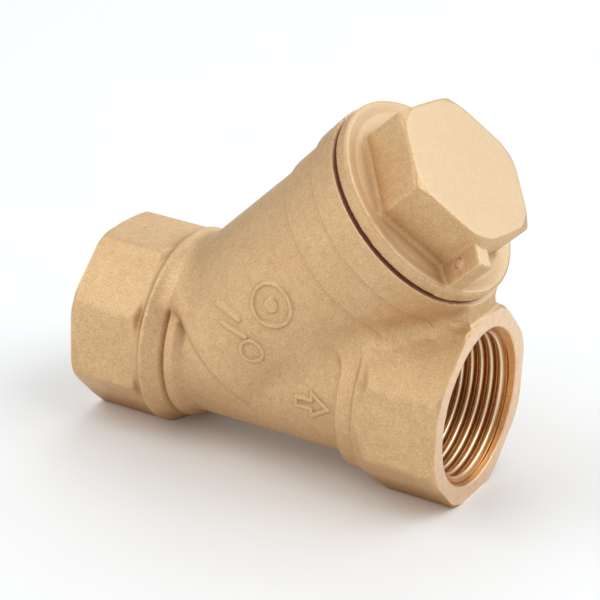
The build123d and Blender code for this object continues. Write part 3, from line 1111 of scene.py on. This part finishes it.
body_piece = make_body(cast, turned_brass)
inlet_thread, outlet_thread = (
    thread_sleeve(
        name,
        port_radius,
        port_thread_start,
        port_thread_end,
        port_pitch,
        port_sleeve_back,
        place,
        port_brass,
    )
    for name, place in (("inlet_thread", inlet_place), ("outlet_thread", outlet_place))
)
collar_thread = thread_sleeve(
    "collar_thread",
    cap_seat_radius,
    cap_thread_start + seat_sleeve_gap,
    collar_face - sleeve_gap,
    cap_pitch,
    collar_sleeve_back,
    branch_to_frame,
    cut_brass,
)
cap_piece = make_cap(cast, turned_brass)
cap_thread = thread_sleeve(
    "cap_thread",
    plug_radius,
    plug_end + sleeve_gap,
    male_thread_end,
    cap_pitch,
    plug_sleeve_back,
    branch_to_frame,
    cut_brass,
)
mark_pieces = [
    make_mark(name, shape, low, high, cast)
    for name, shape, low, high in (
        ("arrow_mark", arrow_shape, (41.5, -16, -4.5), (50.8, -11.5, 2.6)),
        ("ring_mark", ring_shape, (34.6, -18.5, 11.6), (44.2, -12.5, 21.2)),
        ("small_ring_mark", small_ring_shape, (33, -18.5, 4.2), (38.8, -12.5, 10)),
        ("bars_mark", bars_shape, (27, -18.5, 8.2), (36.4, -14.5, 15.2)),
    )
]
warp_piece, weft_piece = make_weave(steel)

for piece in (body_piece, *mark_pieces, inlet_thread, outlet_thread, collar_thread):
    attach(piece, "body")
    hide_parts("body")
for piece in (cap_piece, cap_thread):
    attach(piece, "cap")
    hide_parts("cap")

for piece, node in ((warp_piece, "screen_warp_wires"), (weft_piece, "screen_weft_wires")):
    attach(piece, "screen")
    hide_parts(node)

gasket_piece = make_gasket(gasket_material)
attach(gasket_piece, "cap_carriage")
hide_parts("cap_gasket")

for node in ("screen_bottom_ring", "screen_top_ring"):
    mesh = frame["nodes"][node].data
    mesh.materials.clear()
    mesh.materials.append(steel)

# ---- studio --------------------------------------------------------------------
scene = bpy.context.scene
tent_middle = Vector((0.035, 0, 0.01))
tent_radius = 0.7
box_size = 0.45


def pale_floor():
    """Large pale floor just under the strainer's lower flats."""
    size = 3.0
    mesh = bpy.data.meshes.new("floor")
    z = -half_flats * MM
    corners = [(-size, -size, z), (size, -size, z), (size, size, z), (-size, size, z)]
    mesh.from_pydata(corners, [], [(0, 1, 2, 3)])
    n = Nodes("pale_floor")
    tone = n.ramp(n.noise(40.0), [(0.3, (0.86, 0.86, 0.86)), (0.7, (0.88, 0.88, 0.88))])
    n.link(tone, n.shader.inputs["Base Color"])
    n.set(Roughness=0.9)
    mesh.materials.append(n.material)
    floor = bpy.data.objects.new("floor", mesh)
    scene.collection.objects.link(floor)


def soft_box(azimuth, elevation, power, colour):
    """Square area light on the dome round the part, facing its middle."""
    a, e = radians(azimuth), radians(elevation)
    away = Vector((sin(a) * cos(e), -cos(a) * cos(e), sin(e)))
    data = bpy.data.lights.new("soft_box", "AREA")
    data.size = box_size
    data.energy = power
    data.color = colour
    light = bpy.data.objects.new("soft_box", data)
    light.location = tent_middle + away * tent_radius
    light.rotation_euler = (-away).to_track_quat("-Z", "Y").to_euler()
    scene.collection.objects.link(light)


def studio():
    """Even white tent: a dome of soft boxes, strongest from the right and from above."""
    world = bpy.data.worlds.new("studio")
    world.use_nodes = True
    background = world.node_tree.nodes["Background"]
    background.inputs["Color"].default_value = (1, 0.99, 0.97, 1)
    background.inputs["Strength"].default_value = 0.33
    scene.world = world
    white, cool, warm = (1, 1, 1), (0.9, 0.96, 1), (1, 0.93, 0.88)
    boxes = (
        (-90, 15, 0.26, white),
        (-90, 50, 0.60, cool),
        (-45, 15, 0.64, white),
        (-45, 50, 1.02, cool),
        (0, 15, 0.87, warm),
        (0, 88, 0.25, white),
        (60, 15, 0.25, warm),
        (90, 15, 0.13, cool),
        (90, 50, 1.36, white),
        (135, 15, 0.52, cool),
        (135, 50, 1.05, cool),
        (200, 15, 0.62, cool),
        (200, 50, 0.98, cool),
    )
    for azimuth, elevation, power, colour in boxes:
        soft_box(azimuth, elevation, power, colour)


def camera():
    """Long lens at the photographed angle: to the right of the front and above."""
    azimuth, elevation, roll = radians(28.775), radians(24.144), radians(2.697)
    distance = 0.3898
    target = Vector((0.03595, -0.00079, 0.01058))
    back = Vector((sin(azimuth) * cos(elevation), -cos(azimuth) * cos(elevation), sin(elevation)))
    right = (-back).cross(Vector((0, 0, 1))).normalized()
    up = right.cross(-back)
    side = right * cos(roll) + up * sin(roll)
    top = up * cos(roll) - right * sin(roll)
    data = bpy.data.cameras.new("camera")
    data.sensor_width = 36
    data.lens = 139.75
    data.clip_start = 0.01
    data.clip_end = 20
    view = bpy.data.objects.new("camera", data)
    view.matrix_world = Matrix.Translation(target + back * distance) @ Matrix(
        (side, top, back)
    ).transposed().to_4x4()
    scene.collection.objects.link(view)
    scene.camera = view


pale_floor()
studio()
camera()
scene.view_settings.view_transform = "Standard"
